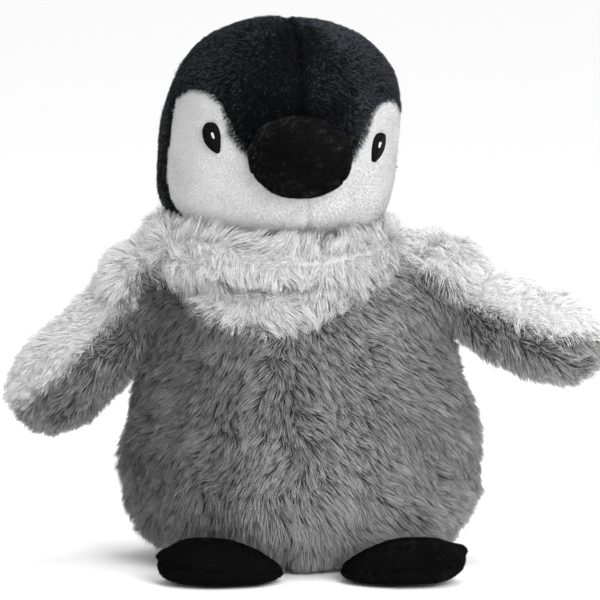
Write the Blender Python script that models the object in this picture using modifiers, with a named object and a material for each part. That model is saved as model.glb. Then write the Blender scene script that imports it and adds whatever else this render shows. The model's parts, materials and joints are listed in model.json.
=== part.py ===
"""Plush penguin chick, sewn from furry panels around stuffing, sitting on its base and facing -Y.

Blender 4.5 script, metres, +Z up. Left and right are as seen from the front, so left is -X.
Every panel is a slice of a turned form, split along the toy's seams.
"""
import math

import bmesh
import bpy
from mathutils import Euler, Vector

MM = 0.001
GAP = 0.35 * MM

LONG_PILE = 3.0 * MM
SHORT_PILE = 2.2 * MM
VELOUR = 1.5 * MM
COTTON = 1.0 * MM

# Turned outlines, (radius, height) in millimetres, read from the top down.
BODY_OUTLINE = (
    (0, 149.5), (40, 149.5), (54, 146.5), (63, 142), (69, 134), (71.5, 124), (72.5, 113),
    (74.5, 101), (77.5, 90), (80.5, 78), (83, 65), (84.5, 51), (84.5, 39), (82.5, 27),
    (77, 16), (69, 8), (61, 3), (54.5, 0), (0, 0),
)
HEAD_OUTLINE = (
    (0, 54.5), (12, 54), (24, 51.5), (35, 46), (44.5, 38), (51.5, 28), (55.8, 16), (57.5, 3),
    (58, -10), (57.5, -22), (56, -33), (52.5, -41), (46, -47), (36, -51), (24, -52.8), (0, -53),
)
WING_OUTLINE = (
    (0, 74), (7, 73), (13, 69.5), (17.3, 62.5), (19.6, 52), (20.2, 40), (20, 25), (19, 11),
    (18, 0), (16.6, -7), (12.7, -12.7), (7, -16.6), (0, -18),
)
FOOT_OUTLINE = (
    (0, 21), (11, 20.6), (20, 18.3), (27.5, 14), (31.3, 9), (31.3, 5), (29, 1.6), (25.5, 0), (0, 0),
)
POUCH_OUTLINE = ((0, 34), (15, 33.4), (27, 30), (35, 24), (39.5, 15), (40, 8), (40, 4.2), (0, 4.2))

BODY_DEPTH = 0.80
HEAD_DEPTH = 0.97
WING_WIDTH = 1.25
FOOT_DEPTH = 0.76
POUCH_DEPTH = 0.76

BODY_STEPS = 48
HEAD_STEPS = 44
WING_STEPS = 26
FOOT_STEPS = 26

BASE_RADIUS = 54 * MM
BASE_THICKNESS = 2.6 * MM
CENTRE_SEAM_X = -6 * MM

HEAD_CENTRE = Vector((-10, -3, 212)) * MM
HEAD_TURN = math.radians(11)
HEAD_ROLL = math.radians(4)
NECK_PIVOT = Vector((-9, -2, 156)) * MM
NECK_RADIUS = 30 * MM

# Where dark fur meets light fur on the body, and black meets white on the head, as (x, z).
BIB_EDGE = (
    (-120, 141), (-66, 135), (-47, 126), (-32, 117), (-16, 114), (0, 118), (18, 127), (34, 136),
    (52, 142), (120, 141),
)
YOKE_EDGE = ((-120, 141), (-50, 134), (0, 128), (50, 134), (120, 141))
BROW_EDGE = (
    (-80, 3), (-58, 6.5), (-55, 12), (-50, 17.5), (-45.5, 19), (-41, 17.5), (-37, 13), (-33, 5.5),
    (-28.7, -3), (-23.7, -8), (0, -12), (23.7, -8), (28.7, -3), (33, 5.5), (37, 13), (41, 17.5),
    (45.5, 19), (50, 17.5), (55, 12), (58, 6.5), (80, 3),
)
CHEEK_BACK_Y = -12 * MM
CROWN_BACK_Y = 10 * MM
FAR = 150 * MM

BEAK_CENTRE = Vector((0, -55, -9.5)) * MM
BEAK_RADII = Vector((24.5, 23, 19.5)) * MM
ARMHOLE_RADIUS = 18.8 * MM
DENT_GAP = 0.5 * MM
EYE_ANGLE = math.radians(46.5)
EYE_TILT = math.radians(20)
EYE_RADII = Vector((5.0, 7.0, 7.5)) * MM
GLINT_RADII = Vector((1.4, 6.0, 1.9)) * MM
EYE_LOW, EYE_HIGH = 0.4 * MM, 1.3 * MM
GLINT_LOW, GLINT_HIGH = 1.65 * MM, 2.2 * MM

# side: hinge place, droop below level, turn about Z of the wing's own axis, twist about it
WINGS = {
    "left": (Vector((-84, 0, 123)) * MM, math.radians(44), math.radians(185), math.radians(-8)),
    "right": (Vector((83.5, 0, 127)) * MM, math.radians(16), math.radians(-28), math.radians(8)),
}
# How much further than at rest each wing can be pressed down against the body.
WING_PRESS = {"left": math.radians(5), "right": math.radians(30)}
# side: centre of the pad on the floor, turn about Z
FEET = {
    "left": (Vector((-38, -78, 0)) * MM, math.radians(8)),
    "right": (Vector((49, -76, 0)) * MM, math.radians(-14)),
}
FOOT_HINGE_Y = -57 * MM
FOOT_HINGE_Z = 17 * MM
FOOT_SEAM_Z = 8 * MM

LABEL_SIZE = Vector((20, 0.5, 28)) * MM
LABEL_CENTRE = Vector((-6, 68.4, 40)) * MM

# finish: colour, roughness
FINISHES = {
    "dark_grey_plush": ((0.135, 0.135, 0.137, 1), 0.92),
    "light_grey_plush": ((0.50, 0.50, 0.50, 1), 0.92),
    "white_plush": ((0.78, 0.78, 0.78, 1), 0.90),
    "black_plush": ((0.012, 0.013, 0.016, 1), 0.85),
    "black_velour": ((0.008, 0.009, 0.009, 1), 0.88),
    "black_thread": ((0.006, 0.006, 0.006, 1), 0.45),
    "white_thread": ((0.80, 0.80, 0.80, 1), 0.45),
    "fibre_stuffing": ((0.72, 0.72, 0.70, 1), 0.95),
    "pouch_cotton": ((0.62, 0.60, 0.55, 1), 0.90),
    "grain_filling": ((0.42, 0.32, 0.18, 1), 0.80),
    "satin_tape": ((0.80, 0.80, 0.80, 1), 0.50),
}


def clear_scene():
    for item in list(bpy.data.objects):
        bpy.data.objects.remove(item, do_unlink=True)


def new_collection(name):
    group = bpy.data.collections.new(name)
    bpy.context.scene.collection.children.link(group)
    return group


clear_scene()
TOY = new_collection("plush_penguin")
CUTTERS = new_collection("cutters")
CUTTERS.hide_render = True


def part_material(name, finish):
    colour, roughness = FINISHES[finish]
    material = bpy.data.materials.new(name)
    material.use_nodes = True
    shader = material.node_tree.nodes["Principled BSDF"]
    shader.inputs["Base Color"].default_value = colour
    shader.inputs["Roughness"].default_value = roughness
    shader.inputs["Metallic"].default_value = 0.0
    return material


def place(name, mesh, frame, finish):
    """Link a mesh as a finished sub-part, or as a hidden cutter when it has no finish."""
    item = bpy.data.objects.new(name, mesh)
    item.parent = frame
    if finish:
        TOY.objects.link(item)
        mesh.materials.append(part_material(name, finish))
    else:
        CUTTERS.objects.link(item)
        item.hide_render = True
        item.display_type = "WIRE"
    return item


def empty(name, location, rotation=(0, 0, 0), parent=None):
    item = bpy.data.objects.new(name, None)
    item.location = location
    item.rotation_euler = rotation
    item.parent = parent
    TOY.objects.link(item)
    return item


def grown(outline, distance):
    """Move an outline outwards by a distance in metres, with mitred corners and ends on the axis."""
    points = [Vector(point) * MM for point in outline]
    normals = []
    for start, end in zip(points, points[1:]):
        run = (end - start).normalized()
        normals.append(Vector((-run.y, run.x)))
    moved = [Vector((0, points[0].y + distance))]
    for point, before, after in zip(points[1:], normals, normals[1:]):
        moved.append(point + (before + after) * distance / (1 + before.dot(after)))
    moved.append(Vector((0, points[-1].y - distance)))
    return moved


def turned(name, outline, depth, steps, frame=None, finish=None, growth=0.0):
    """Turn an outline about Z with a Screw modifier, squashed along Y by the depth ratio."""
    points = grown(outline, growth)
    mesh = bpy.data.meshes.new(name)
    corners = [(point.x, 0, point.y) for point in points]
    mesh.from_pydata(corners, [(i, i + 1) for i in range(len(corners) - 1)], [])
    item = place(name, mesh, frame, finish)
    item.scale = (1, depth, 1)
    screw = item.modifiers.new("turn", "SCREW")
    screw.axis = "Z"
    screw.angle = 2 * math.pi
    screw.steps = steps
    screw.render_steps = steps
    screw.use_merge_vertices = True
    screw.merge_threshold = 0.00001
    return item


def ball(name, centre, radii, frame=None, finish=None, segments=28, rotation=(0, 0, 0)):
    form = bmesh.new()
    bmesh.ops.create_uvsphere(form, u_segments=segments, v_segments=segments // 2, radius=1.0)
    mesh = bpy.data.meshes.new(name)
    form.to_mesh(mesh)
    form.free()
    item = place(name, mesh, frame, finish)
    item.location = centre
    item.scale = radii
    item.rotation_euler = rotation
    return item


def block(name, low, high, frame=None, finish=None):
    form = bmesh.new()
    bmesh.ops.create_cube(form, size=1.0)
    size = Vector(high) - Vector(low)
    middle = (Vector(high) + Vector(low)) / 2
    bmesh.ops.scale(form, vec=size, verts=form.verts)
    bmesh.ops.translate(form, vec=middle, verts=form.verts)
    mesh = bpy.data.meshes.new(name)
    form.to_mesh(mesh)
    form.free()
    return place(name, mesh, frame, finish)


def disc(name, radius, depth_ratio, low_z, high_z, frame=None, finish=None):
    form = bmesh.new()
    bmesh.ops.create_cone(form, cap_ends=True, segments=BODY_STEPS, radius1=1.0, radius2=1.0,
                          depth=1.0)
    mesh = bpy.data.meshes.new(name)
    form.to_mesh(mesh)
    form.free()
    item = place(name, mesh, frame, finish)
    item.location = (0, 0, (low_z + high_z) / 2)
    item.scale = (radius, radius * depth_ratio, high_z - low_z)
    return item


def edge_height(edge, x):
    for (x0, z0), (x1, z1) in zip(edge, edge[1:]):
        if x0 <= x <= x1:
            return z0 + (z1 - z0) * (x - x0) / (x1 - x0)
    return edge[-1][1]


def seam_region(name, edge, side, x_range, y_range, shift=0.0, frame=None):
    """A prism along Y that holds what is above (side 1) or below (side -1) a seam line."""
    x0, x1 = (value / MM for value in x_range)
    inner = [(x, z) for x, z in edge if x0 < x < x1]
    line = [(x0, edge_height(edge, x0))] + inner + [(x1, edge_height(edge, x1))]
    far = side * 400
    outline = [(x * MM, z * MM + shift) for x, z in line] + [(x1 * MM, far * MM), (x0 * MM, far * MM)]
    form = bmesh.new()
    corners = [form.verts.new((x, y_range[0], z)) for x, z in outline]
    face = form.faces.new(corners)
    grown_face = bmesh.ops.extrude_face_region(form, geom=[face])
    moved = [item for item in grown_face["geom"] if isinstance(item, bmesh.types.BMVert)]
    bmesh.ops.translate(form, vec=(0, y_range[1] - y_range[0], 0), verts=moved)
    bmesh.ops.recalc_face_normals(form, faces=form.faces)
    mesh = bpy.data.meshes.new(name)
    form.to_mesh(mesh)
    form.free()
    return place(name, mesh, frame, None)


def cut(item, cutter, operation):
    modifier = item.modifiers.new(cutter.name, "BOOLEAN")
    modifier.solver = "EXACT"
    modifier.operation = operation
    modifier.object = cutter


def keep(item, *cutters):
    for cutter in cutters:
        cut(item, cutter, "INTERSECT")


def remove(item, *cutters):
    for cutter in cutters:
        cut(item, cutter, "DIFFERENCE")


def armholes():
    """The round pockets in which the wings' roots turn, and the dents that a lowered wing presses."""
    pockets = []
    for side, (place_at, droop, turn, twist) in WINGS.items():
        radii = Vector((1, WING_WIDTH, 1)) * ARMHOLE_RADIUS
        pockets.append(ball(f"armhole_{side}", place_at, radii, rotation=(0, 0, turn)))
        for share in (0.5, 1.0):
            name = f"dent_{side}_{share:g}"
            lowered = wing_frame(name, place_at, droop + share * WING_PRESS[side], turn, twist)
            pockets.append(turned(name, WING_OUTLINE, WING_WIDTH, WING_STEPS, lowered,
                                  growth=DENT_GAP))
    return pockets


def build_body(neck_hole, pockets):
    inner = turned("body_inner", BODY_OUTLINE, BODY_DEPTH, BODY_STEPS, growth=-LONG_PILE)
    base_hole = disc("base_hole", BASE_RADIUS + GAP, BODY_DEPTH, -5 * MM, LONG_PILE + 1 * MM)
    front, back = (-FAR, -GAP / 2), (GAP / 2, FAR)
    sides = {
        "left": (-FAR * 0.8, CENTRE_SEAM_X - GAP / 2),
        "right": (CENTRE_SEAM_X + GAP / 2, FAR * 0.8),
    }
    for side, x_range in sides.items():
        for face, y_range, edge in (("front", front, BIB_EDGE), ("back", back, YOKE_EDGE)):
            name = f"body_{face}_{side}"
            panel = turned(name, BODY_OUTLINE, BODY_DEPTH, BODY_STEPS, finish="dark_grey_plush")
            keep(panel, seam_region(f"{name}_region", edge, -1, x_range, y_range, -GAP))
            remove(panel, inner, base_hole, *pockets)
        bib = turned(f"bib_{side}", BODY_OUTLINE, BODY_DEPTH, BODY_STEPS, finish="light_grey_plush")
        keep(bib, seam_region(f"bib_{side}_region", BIB_EDGE, 1, x_range, front))
        remove(bib, inner, neck_hole, *pockets)
    yoke = turned("yoke_back", BODY_OUTLINE, BODY_DEPTH, BODY_STEPS, finish="light_grey_plush")
    keep(yoke, seam_region("yoke_region", YOKE_EDGE, 1, (-FAR * 0.8, FAR * 0.8), back))
    remove(yoke, inner, neck_hole, *pockets)
    disc("base_panel", BASE_RADIUS, BODY_DEPTH, 0, BASE_THICKNESS, finish="dark_grey_plush")


def build_body_filling(neck_hole, pockets):
    stuffing = turned("body_stuffing", BODY_OUTLINE, BODY_DEPTH, BODY_STEPS,
                      finish="fibre_stuffing", growth=-LONG_PILE - GAP)
    pouch_space = turned("pouch_space", POUCH_OUTLINE, POUCH_DEPTH, 32, growth=0.5 * MM)
    mouth = disc("pouch_mouth", 40.5 * MM, POUCH_DEPTH, -5 * MM, 8 * MM)
    remove(stuffing, pouch_space, mouth, neck_hole, *pockets)
    top = turned("pouch_top", POUCH_OUTLINE, POUCH_DEPTH, 32, finish="pouch_cotton")
    room = turned("pouch_room", POUCH_OUTLINE, POUCH_DEPTH, 32, growth=-COTTON)
    room_mouth = disc("pouch_room_mouth", 39 * MM, POUCH_DEPTH, -5 * MM, 8 * MM)
    remove(top, room, room_mouth)
    disc("pouch_bottom", 40 * MM, POUCH_DEPTH, BASE_THICKNESS + GAP, 3.9 * MM,
         finish="pouch_cotton")
    turned("pouch_grain", POUCH_OUTLINE, POUCH_DEPTH, 32, finish="grain_filling",
           growth=-COTTON - GAP)


def build_label():
    half = LABEL_SIZE / 2
    block("care_label", LABEL_CENTRE - half, LABEL_CENTRE + half, finish="satin_tape")


def head_form(name, frame, finish=None, growth=0.0):
    return turned(name, HEAD_OUTLINE, HEAD_DEPTH, HEAD_STEPS, frame, finish, growth)


def build_head(frame, neck_hole):
    inner = head_form("head_inner", frame, growth=-SHORT_PILE)
    face_range = (-FAR, CHEEK_BACK_Y - GAP)
    sides = {"left": (-79.9 * MM, -GAP / 2), "right": (GAP / 2, 79.9 * MM)}
    face_area = seam_region("face_area", BROW_EDGE, -1, (-79.9 * MM, 79.9 * MM),
                            (-FAR, CHEEK_BACK_Y), 0.0, frame)
    for side, x_range in sides.items():
        cheek = head_form(f"cheek_{side}", frame, "white_plush")
        keep(cheek, seam_region(f"cheek_{side}_region", BROW_EDGE, -1, x_range, face_range,
                                -1.5 * GAP, frame))
        remove(cheek, inner, neck_hole)
        crown = head_form(f"crown_{side}", frame, "black_plush")
        crown_low = (x_range[0], -FAR, -FAR)
        crown_high = (x_range[1], CROWN_BACK_Y - GAP, FAR)
        keep(crown, block(f"crown_{side}_region", crown_low, crown_high, frame))
        remove(crown, face_area, inner, neck_hole)
    nape = head_form("head_back", frame, "black_plush")
    keep(nape, block("head_back_region", (-FAR, CROWN_BACK_Y, -FAR), (FAR, FAR, FAR), frame))
    remove(nape, inner, neck_hole)
    stuffing = head_form("head_stuffing", frame, "fibre_stuffing", -SHORT_PILE - GAP)
    remove(stuffing, neck_hole)


def build_beak(frame):
    skin_clear = head_form("beak_skin_clear", frame, growth=GAP)
    fill_clear = head_form("beak_fill_clear", frame, growth=2 * GAP)
    shrink = Vector((1, 1, 1))
    cover = ball("beak_cover", BEAK_CENTRE, BEAK_RADII, frame, "black_velour")
    hollow = ball("beak_hollow", BEAK_CENTRE, BEAK_RADII - shrink * VELOUR, frame)
    remove(cover, hollow, skin_clear)
    filling = ball("beak_stuffing", BEAK_CENTRE, BEAK_RADII - shrink * (VELOUR + GAP), frame,
                   "fibre_stuffing")
    remove(filling, fill_clear)


def build_eyes(frame):
    levels = {
        level: head_form(f"eye_level_{index}", frame, growth=level)
        for index, level in enumerate((EYE_LOW, EYE_HIGH, GLINT_LOW, GLINT_HIGH))
    }
    reach = 57.6 * MM
    for side, sign in (("left", -1), ("right", 1)):
        across = math.sin(EYE_ANGLE) * reach * sign
        forward = -math.cos(EYE_ANGLE) * reach * HEAD_DEPTH
        turn = Euler((0, EYE_TILT * sign, EYE_ANGLE * sign), "XYZ")
        centre = Vector((across, forward, -4 * MM))
        eye = ball(f"eye_{side}", centre, EYE_RADII, frame, "black_thread", 24, turn)
        keep(eye, levels[EYE_HIGH])
        remove(eye, levels[EYE_LOW])
        shine_centre = centre + Vector((-1.6 * MM * sign, -1.6 * MM, 0.5 * MM))
        shine = ball(f"eye_{side}_glint", shine_centre, GLINT_RADII, frame, "white_thread", 16, turn)
        keep(shine, levels[GLINT_HIGH])
        remove(shine, levels[GLINT_LOW])


def wing_frame(name, place_at, droop, turn, twist):
    """Empties that turn a wing's outline from upright to its place, hinge first."""
    hinge = empty(f"{name}_hinge", place_at, (0, 0, turn))
    lowered = empty(f"{name}_droop", (0, 0, 0), (0, math.pi / 2 + droop, 0), hinge)
    return empty(f"{name}_frame", (0, 0, 0), (0, 0, twist), lowered)


def build_wing(side):
    frame = wing_frame(f"wing_{side}", *WINGS[side])
    form = (WING_OUTLINE, WING_WIDTH, WING_STEPS, frame)
    inner = turned(f"wing_{side}_space", *form, growth=-LONG_PILE)
    halves = (("outer", "light_grey_plush", -FAR, -GAP / 2), ("inner", "dark_grey_plush", GAP / 2, FAR))
    for layer, finish, low_x, high_x in halves:
        name = f"wing_{side}_{layer}"
        panel = turned(name, *form, finish=finish)
        keep(panel, block(f"{name}_region", (low_x, -FAR, -FAR), (high_x, FAR, FAR), frame))
        remove(panel, inner)
    turned(f"wing_{side}_stuffing", *form, finish="fibre_stuffing", growth=-LONG_PILE - GAP)


def build_foot(side):
    centre, turn = FEET[side]
    hinge_at = Vector((centre.x, FOOT_HINGE_Y, FOOT_HINGE_Z))
    hinge = empty(f"foot_{side}_hinge", hinge_at)
    frame = empty(f"foot_{side}_frame", centre - hinge_at, (0, 0, turn), hinge)
    form = (FOOT_OUTLINE, FOOT_DEPTH, FOOT_STEPS, frame)
    inner = turned(f"foot_{side}_space", *form, growth=-VELOUR)
    layers = (("sole", -FAR, FOOT_SEAM_Z - GAP / 2), ("top", FOOT_SEAM_Z + GAP / 2, FAR))
    for layer, low_z, high_z in layers:
        name = f"foot_{side}_{layer}"
        panel = turned(name, *form, finish="black_velour")
        keep(panel, block(f"{name}_region", (-FAR, -FAR, low_z), (FAR, FAR, high_z), frame))
        remove(panel, inner)
    turned(f"foot_{side}_stuffing", *form, finish="fibre_stuffing", growth=-VELOUR - GAP)


def main():
    neck = empty("neck_pivot", NECK_PIVOT)
    head_frame = empty("head_frame", HEAD_CENTRE - NECK_PIVOT, (0, HEAD_ROLL, HEAD_TURN), neck)
    neck_hole = ball("neck_hole", NECK_PIVOT, Vector((1, 1, 1)) * (NECK_RADIUS + GAP), segments=32)
    ball("neck_plug", NECK_PIVOT, Vector((1, 1, 1)) * NECK_RADIUS, None, "fibre_stuffing", 32)
    pockets = armholes()
    build_body(neck_hole, pockets)
    build_body_filling(neck_hole, pockets)
    build_label()
    build_head(head_frame, neck_hole)
    build_beak(head_frame)
    build_eyes(head_frame)
    for side in ("left", "right"):
        build_wing(side)
        build_foot(side)


main()
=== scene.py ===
"""Looks of the plush penguin chick: cloth skins blown up from the frame's panels, with pile grown on them.

Everything is in metres in the frame's own place. Left and right are as seen from the front.
"""
import json
import math

import bmesh
import bpy
import numpy as np
from mathutils import Euler, Matrix, Vector
from mathutils.bvhtree import BVHTree
from mathutils.kdtree import KDTree


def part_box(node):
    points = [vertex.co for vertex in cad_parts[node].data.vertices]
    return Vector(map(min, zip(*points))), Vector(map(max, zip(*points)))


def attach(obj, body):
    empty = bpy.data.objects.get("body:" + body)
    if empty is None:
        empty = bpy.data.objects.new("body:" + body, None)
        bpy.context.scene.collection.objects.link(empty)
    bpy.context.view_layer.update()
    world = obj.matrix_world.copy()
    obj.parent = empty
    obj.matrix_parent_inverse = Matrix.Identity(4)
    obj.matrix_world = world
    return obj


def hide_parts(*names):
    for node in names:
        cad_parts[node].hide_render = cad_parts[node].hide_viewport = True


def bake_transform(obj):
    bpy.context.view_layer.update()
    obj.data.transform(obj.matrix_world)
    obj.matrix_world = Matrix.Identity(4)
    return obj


MM = 0.001
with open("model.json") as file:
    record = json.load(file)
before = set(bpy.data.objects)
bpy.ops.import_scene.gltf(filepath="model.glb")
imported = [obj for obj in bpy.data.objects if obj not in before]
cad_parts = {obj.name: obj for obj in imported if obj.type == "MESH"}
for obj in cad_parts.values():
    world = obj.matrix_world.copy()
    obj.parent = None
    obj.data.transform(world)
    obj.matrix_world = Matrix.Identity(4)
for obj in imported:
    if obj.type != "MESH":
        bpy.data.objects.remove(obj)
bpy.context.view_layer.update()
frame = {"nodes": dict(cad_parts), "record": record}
NODES = frame["nodes"]
JOINTS = {joint["name"]: joint for joint in frame["record"]["behaviour"]["joints"]}
SIDES = {"left": -1, "right": 1}

# The head's own axes: it is turned to the side and leans a little.
NOD_AXIS = Vector(JOINTS["head_nod"]["axis"])
HEAD_TURN = math.atan2(NOD_AXIS.y, NOD_AXIS.x)
HEAD_ROLL = math.radians(4)
HEAD_LOW, HEAD_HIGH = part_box("head_stuffing")
HEAD_CENTRE = (HEAD_LOW + HEAD_HIGH) / 2
HEAD = Matrix.LocRotScale(HEAD_CENTRE, Euler((0, HEAD_ROLL, HEAD_TURN)), None)

LONG_SINK = 1.8 * MM
SHORT_SINK = 0.3 * MM


# ---------------------------------------------------------------- meshes


def coordinates(mesh):
    """The mesh's points as an n by 3 array."""
    flat = np.empty(len(mesh.vertices) * 3, np.float32)
    mesh.vertices.foreach_get("co", flat)
    return flat.reshape(-1, 3).astype(float)


def set_coordinates(mesh, points):
    mesh.vertices.foreach_set("co", np.asarray(points, np.float32).ravel())
    mesh.update()


def point_normals(mesh):
    flat = np.empty(len(mesh.vertices) * 3, np.float32)
    mesh.vertices.foreach_get("normal", flat)
    return flat.reshape(-1, 3).astype(float)


def unit(vectors):
    return vectors / np.maximum(np.linalg.norm(vectors, axis=-1, keepdims=True), 1e-12)


def new_object(name, mesh):
    item = bpy.data.objects.new(name, mesh)
    bpy.context.scene.collection.objects.link(item)
    return item


def applied(item, name=None):
    """A new mesh object with the modifiers of the given one applied. The given one is removed."""
    bpy.context.view_layer.update()
    shaped = item.evaluated_get(bpy.context.evaluated_depsgraph_get())
    mesh = bpy.data.meshes.new_from_object(shaped)
    kept_name = name or item.name
    bpy.data.objects.remove(item, do_unlink=True)
    mesh.name = kept_name
    return new_object(kept_name, mesh)


def ellipsoid(form, centre, radii, rotation=(0, 0, 0)):
    place = Matrix.LocRotScale(Vector(centre), Euler(rotation), Vector(radii))
    bmesh.ops.create_uvsphere(form, u_segments=40, v_segments=20, radius=1.0, matrix=place)


def ring(form, centre, radii, thickness, lower_right, lower_front, steps=56, sides=14):
    """A closed ring, such as a fold of cloth round the neck, which lies lower on the right and in front."""
    rows = []
    for i in range(steps):
        turn = 2 * math.pi * i / steps
        outward = Vector((math.cos(turn), math.sin(turn), 0))
        fall = outward.x * lower_right - min(0.0, outward.y) * lower_front
        middle = Vector(centre) + Vector((outward.x * radii[0], outward.y * radii[1], -fall))
        row = []
        for j in range(sides):
            around = 2 * math.pi * j / sides
            offset = outward * math.cos(around) + Vector((0, 0, math.sin(around)))
            row.append(form.verts.new(middle + offset * thickness))
        rows.append(row)
    for row, following in zip(rows, rows[1:] + rows[:1]):
        for j in range(sides):
            k = (j + 1) % sides
            form.faces.new((row[j], following[j], following[k], row[k]))


def remeshed(name, nodes, voxel, extras=None):
    """One even skin round some of the frame's nodes and any added forms."""
    form = bmesh.new()
    for node in nodes:
        form.from_mesh(NODES[node].data)
    if extras:
        extras(form)
    mesh = bpy.data.meshes.new(name)
    form.to_mesh(mesh)
    form.free()
    item = new_object(name, mesh)
    remesh = item.modifiers.new("even", "REMESH")
    remesh.mode = "VOXEL"
    remesh.voxel_size = voxel
    smooth = item.modifiers.new("smooth", "SMOOTH")
    smooth.factor = 0.5
    smooth.iterations = 4
    return applied(item)


def sunk(item, depth):
    """Moves the skin in, to where the pile is rooted."""
    mesh = item.data
    set_coordinates(mesh, coordinates(mesh) - point_normals(mesh) * depth)
    return item


def inflated(item, seams, pressure, cap, steps=20):
    """Blows the skin up as cloth that is held along its seams. No point moves further than the cap."""
    start = coordinates(item.data)
    held = item.vertex_groups.new(name="seams")
    held.add([int(i) for i in np.nonzero(seams(start))[0]], 1.0, "REPLACE")
    cloth = item.modifiers.new("cloth", "CLOTH")
    cloth.settings.quality = 5
    cloth.settings.mass = 0.2
    cloth.settings.tension_stiffness = 12
    cloth.settings.compression_stiffness = 12
    cloth.settings.bending_stiffness = 0.4
    cloth.settings.use_pressure = True
    cloth.settings.uniform_pressure_force = pressure
    cloth.settings.vertex_group_mass = "seams"
    cloth.settings.effector_weights.gravity = 0
    cloth.collision_settings.use_collision = False
    cloth.point_cache.frame_start = 1
    cloth.point_cache.frame_end = steps
    for step in range(1, steps + 1):
        bpy.context.scene.frame_set(step)
    name = item.name
    blown = applied(item, name)
    bpy.context.scene.frame_set(1)
    moved = coordinates(blown.data) - start
    length = np.linalg.norm(moved, axis=1, keepdims=True)
    moved *= np.minimum(1, cap / np.maximum(length, 1e-9))
    set_coordinates(blown.data, start + moved)
    return blown


def subdivided(item, levels=1):
    finer = item.modifiers.new("finer", "SUBSURF")
    finer.levels = levels
    finer.render_levels = levels
    return applied(item)


def ripple(points, wavelength, seed, waves=9):
    """A smooth wandering field between about -1 and 1, the same on every run."""
    dice = np.random.default_rng(seed)
    total = np.zeros(len(points))
    for _ in range(waves):
        heading = unit(dice.normal(size=3))
        length = wavelength * dice.uniform(0.7, 1.5)
        total += np.sin(points @ heading * (2 * math.pi / length) + dice.uniform(0, 2 * math.pi))
    return total / math.sqrt(waves)


# ---------------------------------------------------------------- camera, light and floor


def aim(item, target):
    item.rotation_euler = (Vector(target) - item.location).to_track_quat("-Z", "Y").to_euler()


def area_light(name, place, target, size, power, colour=(1, 1, 1)):
    data = bpy.data.lights.new(name, "AREA")
    data.shape = "SQUARE"
    data.size = size
    data.energy = power
    data.color = colour
    item = bpy.data.objects.new(name, data)
    bpy.context.scene.collection.objects.link(item)
    item.location = place
    aim(item, target)


def build_studio():
    """A camera a little above the toy, soft light from above and both sides, and a pale floor."""
    scene = bpy.context.scene
    scene.view_settings.view_transform = "Standard"

    data = bpy.data.cameras.new("camera")
    data.lens = 300
    data.sensor_width = 36
    data.clip_start = 0.05
    camera = bpy.data.objects.new("camera", data)
    scene.collection.objects.link(camera)
    target = Vector((0, -20, 129.6)) * MM
    pitch = math.radians(6)
    camera.location = target + Vector((0, -math.cos(pitch), math.sin(pitch))) * 2.44
    aim(camera, target)
    scene.camera = camera

    world = bpy.data.worlds.new("studio")
    world.use_nodes = True
    tree = world.node_tree
    place = tree.nodes.new("ShaderNodeTexCoord")
    parts = tree.nodes.new("ShaderNodeSeparateXYZ")
    strength = tree.nodes.new("ShaderNodeMapRange")
    strength.inputs["From Min"].default_value = -1.0
    strength.inputs["To Min"].default_value = 0.65
    strength.inputs["To Max"].default_value = 1.35
    background = tree.nodes["Background"]
    background.inputs["Color"].default_value = (1, 1, 1, 1)
    tree.links.new(place.outputs["Generated"], parts.inputs["Vector"])
    tree.links.new(parts.outputs["X"], strength.inputs["Value"])
    tree.links.new(strength.outputs["Result"], background.inputs["Strength"])
    scene.world = world

    middle = (0, 0, 0.13)
    area_light("key", (0.6, -1.15, 0.8), middle, 0.7, 14)
    area_light("top", (0.15, 0.1, 1.3), middle, 0.8, 9)

    form = bmesh.new()
    bmesh.ops.create_grid(form, x_segments=8, y_segments=8, size=20.0)
    mesh = bpy.data.meshes.new("floor")
    form.to_mesh(mesh)
    form.free()
    floor = new_object("floor", mesh)
    floor.location.z = -0.6 * MM
    paint = bpy.data.materials.new("floor_paint")
    paint.use_nodes = True
    shader = paint.node_tree.nodes["Principled BSDF"]
    shader.inputs["Base Color"].default_value = (0.96, 0.96, 0.96, 1)
    shader.inputs["Roughness"].default_value = 0.9
    mesh.materials.append(paint)


# ---------------------------------------------------------------- materials


def linear(grey, tint=(1, 1, 1)):
    """The light a screen grey of 0 to 255 stands for, with a slight tint."""
    value = grey / 255
    value = value / 12.92 if value <= 0.04045 else ((value + 0.055) / 1.055) ** 2.4
    return tuple(value * part for part in tint) + (1.0,)


def shader_of(material):
    return material.node_tree.nodes["Principled BSDF"]


def fibre_material(name, grey, tint, sheen, gloss, rough=0.75):
    """One shade of fibre. Each fibre is painted from root to tip with several of these."""
    material = bpy.data.materials.new(name)
    material.use_nodes = True
    shader = shader_of(material)
    shader.inputs["Base Color"].default_value = linear(grey, tint)
    shader.inputs["Roughness"].default_value = rough
    shader.inputs["Specular IOR Level"].default_value = gloss
    shader.inputs["Sheen Weight"].default_value = sheen
    shader.inputs["Sheen Roughness"].default_value = 0.4
    return material


def fibre_shades(name, greys, tint=(1, 1, 1), sheen=0.05, gloss=0.15):
    return [fibre_material(f"{name}_{i}", grey, tint, sheen, gloss) for i, grey in enumerate(greys)]


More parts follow.
